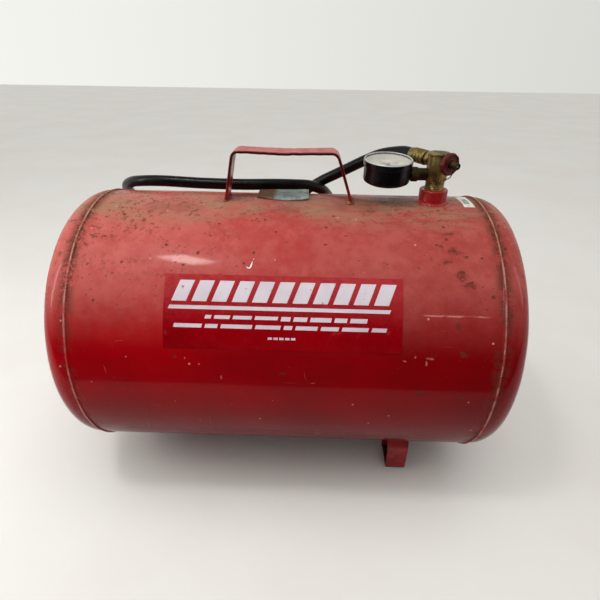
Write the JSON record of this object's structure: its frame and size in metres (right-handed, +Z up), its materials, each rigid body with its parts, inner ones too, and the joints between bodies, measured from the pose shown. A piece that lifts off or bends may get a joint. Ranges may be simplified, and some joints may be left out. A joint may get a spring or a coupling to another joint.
{
  "type": "air receiver tank",
  "caption": "Portable welded steel air receiver on pressed feet, with strap handle, brass manifold, pressure gauge, shut-off and fill valve, relief valve and rubber hose.",
  "frame": {"origin": "on the floor, midway between the two heads, under the vessel's axis", "axes": "+X along the vessel towards the manifold end, +Z up, -Y towards the front"},
  "size_m": [0.5458, 0.3322, 0.3905],
  "materials": {
    "red_paint": "aged glossy red enamel, dusty and pitted with rust on top",
    "weld_paint": "red enamel over weld beads, rust in the edges",
    "brass": "dull aged brass",
    "dark_brass": "tarnished dark brass",
    "data_plate": "weathered metal plate, blank",
    "label": "blank white label",
    "knob": "worn red plastic",
    "steel": "plated steel",
    "gauge_case": "black",
    "gauge_bezel": "pale grey rim",
    "lens": "clear",
    "dial": "pale printed dial, numbers only",
    "pointer": "black",
    "hose": "black rubber air hose",
    "rubber": "black rubber",
    "chuck": "plated"
  },
  "bodies": {
    "tank": {"shell": "red_paint", "left_head": "red_paint", "right_head": "red_paint", "port_bung": "red_paint", "handle": "red_paint", "front_foot": "red_paint", "rear_foot": "red_paint", "left_foot": "red_paint", "shell_seam_weld": "weld_paint", "left_seam_weld": "weld_paint", "right_seam_weld": "weld_paint", "bung_weld": "weld_paint", "handle_weld_left": "weld_paint", "handle_weld_right": "weld_paint", "manifold_body": "brass", "manifold_cap": "brass", "shutoff_bonnet": "brass", "hose_fitting": "brass", "hose_ferrule": "brass", "relief_valve_body": "brass", "relief_cap": "brass", "gauge_movement_frame": "brass", "gauge_bourdon_tube": "brass", "chuck_ferrule": "brass", "data_plate": "data_plate", "inspection_label": "label", "relief_spring": "steel", "gauge_socket": "dark_brass", "gauge_case": "gauge_case", "gauge_bezel": "gauge_bezel", "gauge_lens": "lens", "gauge_dial": "dial", "hose": "hose", "air_chuck": "chuck", "chuck_seal": "rubber", "chuck_spring": "steel"},
    "shutoff_knob_body": {"shutoff_knob": "knob", "fill_valve_stem": "brass", "fill_valve_core": "brass", "fill_valve_spring": "steel"},
    "shutoff_plunger_body": {"shutoff_plunger": "brass"},
    "fill_pin_body": {"fill_valve_pin": "steel"},
    "relief_stem_body": {"relief_stem": "brass"},
    "pull_ring_body": {"relief_pull_ring": "steel"},
    "gauge_pointer_body": {"gauge_pointer": "pointer", "gauge_pinion": "brass"},
    "gauge_sector_body": {"gauge_sector": "brass", "gauge_link": "brass"},
    "chuck_pin_body": {"chuck_pin": "steel"}
  },
  "joints": [
    {"name": "shutoff_turn", "type": "hinge", "parent": "tank", "child": "shutoff_knob_body", "pos_m": [0.167, -0.01386, 0.3789], "axis": [0.5, -0.866, 0], "range_deg": [-540, 0]},
    {"name": "shutoff_travel", "type": "slide", "parent": "tank", "child": "shutoff_plunger_body", "axis": [0.5, -0.866, 0], "range_m": [-0.0022, 0]},
    {"name": "fill_pin_press", "type": "slide", "parent": "shutoff_knob_body", "child": "fill_pin_body", "axis": [0.5, -0.866, 0], "range_m": [-0.0015, 0], "stiffness_N_per_m": 300},
    {"name": "relief_pull", "type": "slide", "parent": "tank", "child": "relief_stem_body", "axis": [0.5, 0.866, 0], "range_m": [0, 0.003], "stiffness_N_per_m": 1500},
    {"name": "ring_swing", "type": "hinge", "parent": "relief_stem_body", "child": "pull_ring_body", "pos_m": [0.17975, 0.03594, 0.3648], "axis": [0.866, -0.5, 0], "range_deg": [-12, 95]},
    {"name": "gauge_needle", "type": "hinge", "parent": "tank", "child": "gauge_pointer_body", "pos_m": [0.1057, 0, 0.3648], "axis": [0, -0.0872, 0.9962], "range_deg": [-270, 0], "stiffness_Nm_per_rad": 0.0002},
    {"name": "gauge_sector_turn", "type": "hinge", "parent": "tank", "child": "gauge_sector_body", "pos_m": [0.1057, 0.01275, 0.36592], "axis": [0, -0.0872, 0.9962], "range_deg": [0, 50.1]},
    {"name": "chuck_pin_press", "type": "slide", "parent": "tank", "child": "chuck_pin_body", "axis": [-1, 0, 0], "range_m": [-0.0015, 0], "stiffness_N_per_m": 300}
  ],
  "couplings": [
    {"joint": "shutoff_travel", "follows": "shutoff_turn", "m_per_rad": 0.00023343},
    {"joint": "gauge_sector_turn", "follows": "gauge_needle", "ratio": -0.18518}
  ]
}
